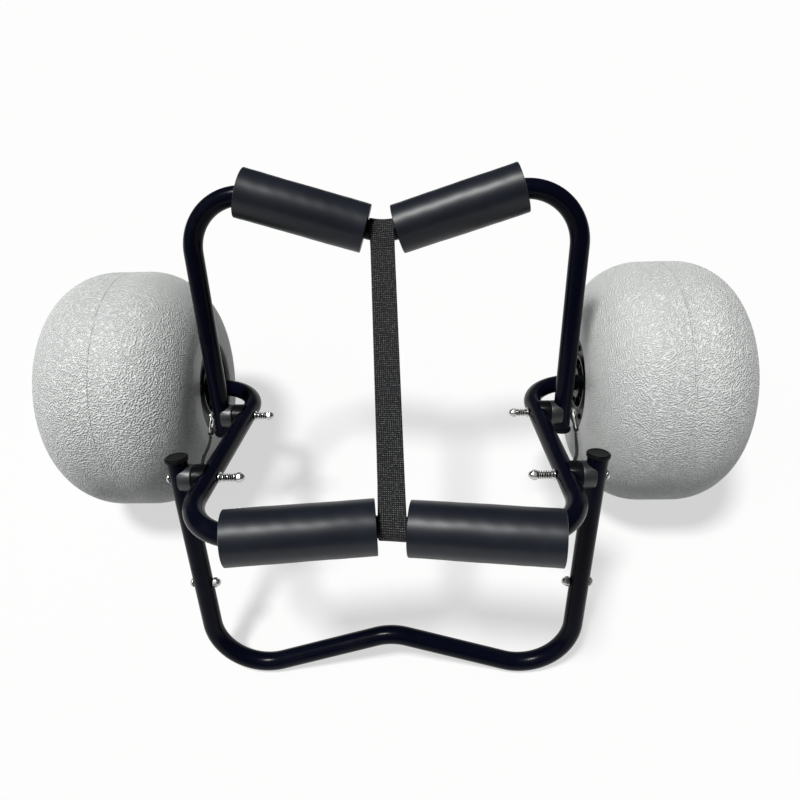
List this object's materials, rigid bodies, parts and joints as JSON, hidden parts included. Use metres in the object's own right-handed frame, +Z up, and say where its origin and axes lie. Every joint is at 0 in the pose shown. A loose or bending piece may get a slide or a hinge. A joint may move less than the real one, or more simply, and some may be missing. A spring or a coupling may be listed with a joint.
{
  "type": "boat launching trolley",
  "caption": "Folding launching trolley with padded V cradles on balloon wheels, a webbing strap between the cradles and a folding kickstand.",
  "frame": {"origin": "on the ground at the middle of the footprint, between the kickstand's front and the wheels' back", "axes": "+X along the axle to the right as seen from the kickstand, +Y from the kickstand towards the wheels, +Z up"},
  "size_m": [0.9364, 0.4956, 0.4642],
  "materials": {
    "black_powder_coat": "gloss",
    "stainless_steel": "polished",
    "black_plastic": "satin",
    "hinge_plastic": "satin",
    "charcoal_foam": "matte",
    "black_webbing": "matte",
    "black_cord": "matte",
    "silver_vinyl": "satin"
  },
  "bodies": {
    "front_frame": {"front_cradle_tube": "black_powder_coat", "front_pad_left": "charcoal_foam", "front_pad_right": "charcoal_foam", "rear_hinge_inner_left": "black_plastic", "rear_hinge_inner_right": "black_plastic", "kick_hinge_inner_left": "black_plastic", "kick_hinge_inner_right": "black_plastic", "rear_hinge_bolt_left": "stainless_steel", "rear_hinge_bolt_right": "stainless_steel", "rear_hinge_washer_left": "stainless_steel", "rear_hinge_washer_right": "stainless_steel", "rear_hinge_spring_left": "stainless_steel", "rear_hinge_spring_right": "stainless_steel", "rear_hinge_nut_left": "stainless_steel", "rear_hinge_nut_right": "stainless_steel", "kick_hinge_bolt_left": "stainless_steel", "kick_hinge_bolt_right": "stainless_steel", "kick_hinge_washer_left": "stainless_steel", "kick_hinge_washer_right": "stainless_steel", "kick_hinge_spring_left": "stainless_steel", "kick_hinge_spring_right": "stainless_steel", "kick_hinge_nut_left": "stainless_steel", "kick_hinge_nut_right": "stainless_steel", "lanyard_ring_left": "stainless_steel", "lanyard_ring_right": "stainless_steel", "lanyard_left": "black_cord", "lanyard_right": "black_cord", "axle_washer_left": "stainless_steel", "axle_washer_right": "stainless_steel", "axle_pin_left": "stainless_steel", "axle_pin_right": "stainless_steel", "axle_cap_left": "black_plastic", "axle_cap_right": "black_plastic", "webbing_strap": "black_webbing"},
    "rear_cradle": {"rear_cradle_tube": "black_powder_coat", "rear_pad_left": "charcoal_foam", "rear_pad_right": "charcoal_foam", "rear_cradle_cap_left": "black_plastic", "rear_cradle_cap_right": "black_plastic", "rear_hinge_outer_left": "hinge_plastic", "rear_hinge_outer_right": "hinge_plastic"},
    "kickstand": {"kickstand_loop": "black_powder_coat", "kickstand_leg_left": "black_powder_coat", "kickstand_leg_right": "black_powder_coat", "kickstand_cap_left": "black_plastic", "kickstand_cap_right": "black_plastic", "kickstand_bolt_left": "stainless_steel", "kickstand_bolt_right": "stainless_steel", "kickstand_nut_left": "stainless_steel", "kickstand_nut_right": "stainless_steel", "kick_hinge_outer_left": "hinge_plastic", "kick_hinge_outer_right": "hinge_plastic"},
    "wheel_left": {"tyre_left": "silver_vinyl", "hub_inner_left": "black_plastic", "hub_outer_left": "black_plastic", "hub_bush_left": "black_plastic"},
    "wheel_right": {"tyre_right": "silver_vinyl", "hub_inner_right": "black_plastic", "hub_outer_right": "black_plastic", "hub_bush_right": "black_plastic"}
  },
  "joints": [
    {"name": "rear_cradle_fold", "type": "hinge", "parent": "front_frame", "child": "rear_cradle", "pos_m": [0, 0.00759, 0.18984], "axis": [1, 0, 0], "range_deg": [0, 70], "deforming": ["webbing_strap"]},
    {"name": "kickstand_fold", "type": "hinge", "parent": "front_frame", "child": "kickstand", "pos_m": [0, -0.12485, 0.23909], "axis": [-1, 0, 0], "range_deg": [0, 82]},
    {"name": "wheel_left_spin", "type": "hinge", "parent": "front_frame", "child": "wheel_left", "pos_m": [-0.347, 0.08782, 0.16], "axis": [1, 0, 0], "continuous": true},
    {"name": "wheel_right_spin", "type": "hinge", "parent": "front_frame", "child": "wheel_right", "pos_m": [0.347, 0.08782, 0.16], "axis": [1, 0, 0], "continuous": true}
  ]
}
